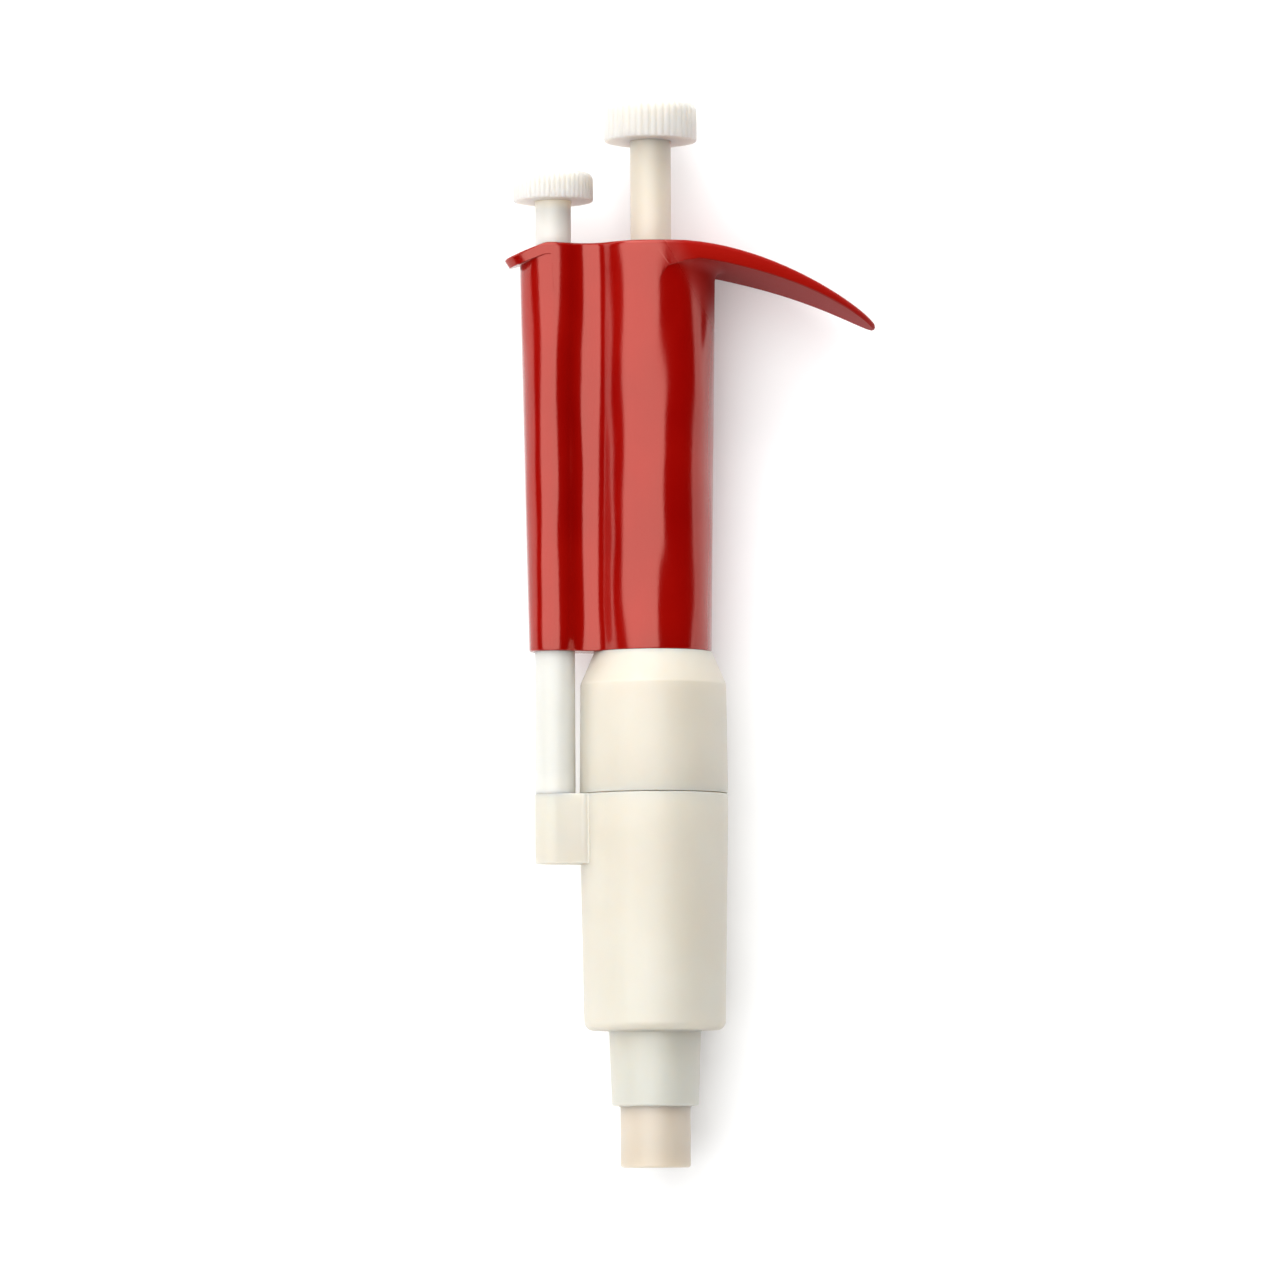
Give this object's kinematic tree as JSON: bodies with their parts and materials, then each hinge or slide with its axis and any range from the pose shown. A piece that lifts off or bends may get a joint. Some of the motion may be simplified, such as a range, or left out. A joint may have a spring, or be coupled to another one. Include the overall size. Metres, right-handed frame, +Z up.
{
  "type": "hand-held air-displacement pipette",
  "caption": "Red two-lobed handle with finger hook, knurled push button and tip ejector button on top, cream barrel and ejector sleeve, stepped nose and tip cone.",
  "frame": {"origin": "centre of the tip cone's mouth, on the main axis; the bench that the object lies on is 16 mm below it", "axes": "+Y along the main axis from the tip cone toward the push button, +X toward the finger hook, +Z up from the bench that the pipette lies on; the hook is rolled 8 degrees down onto the bench"},
  "size_m": [0.0803, 0.23, 0.032],
  "materials": {
    "red_plastic": "glossy",
    "cream_plastic": "satin",
    "nose_plastic": "satin",
    "white_plastic": "satin",
    "natural_plastic": "satin, slightly cloudy",
    "steel": "fine turned",
    "brass": "turned",
    "seal_rubber": "matt",
    "filter_felt": "matt, porous"
  },
  "bodies": {
    "housing": {"handle": "red_plastic", "finger_hook": "red_plastic", "plunger_bush": "white_plastic", "stroke_nut": "brass", "stop_cage": "white_plastic", "spring_seat": "steel", "return_spring": "steel", "blowout_spring": "steel", "barrel_head": "cream_plastic", "barrel_gasket": "seal_rubber", "barrel": "nose_plastic", "tip_filter": "filter_felt", "ejector_spring": "steel"},
    "first_stop": {"first_stop_ring": "steel"},
    "piston_group": {"piston_rod": "steel", "piston": "white_plastic", "piston_seal": "seal_rubber", "piston_screw": "steel"},
    "plunger": {"push_button": "white_plastic", "plunger_rod": "cream_plastic", "spring_collar": "steel"},
    "ejector": {"ejector_button": "white_plastic", "ejector_shaft": "natural_plastic", "ejector_clip": "steel", "ejector_tube": "natural_plastic", "ejector_sleeve": "cream_plastic", "ejector_screw": "steel"}
  },
  "joints": [
    {"name": "blowout_slide", "type": "slide", "parent": "housing", "child": "first_stop", "axis": [0, -1, 0], "range_m": [0, 0.0035], "stiffness_N_per_m": 3000, "springref_m": -0.0045, "deforming": ["blowout_spring"]},
    {"name": "plunger_slide", "type": "slide", "parent": "first_stop", "child": "piston_group", "axis": [0, -1, 0], "range_m": [0, 0.016], "stiffness_N_per_m": 400, "springref_m": -0.01, "deforming": ["return_spring"]},
    {"name": "button_turn", "type": "hinge", "parent": "piston_group", "child": "plunger", "pos_m": [0, 0.2257, 0], "axis": [0, 1, 0], "continuous": true},
    {"name": "eject_slide", "type": "slide", "parent": "housing", "child": "ejector", "axis": [0, -1, 0], "range_m": [0, 0.0075], "stiffness_N_per_m": 600, "springref_m": -0.008, "deforming": ["ejector_spring"]}
  ]
}
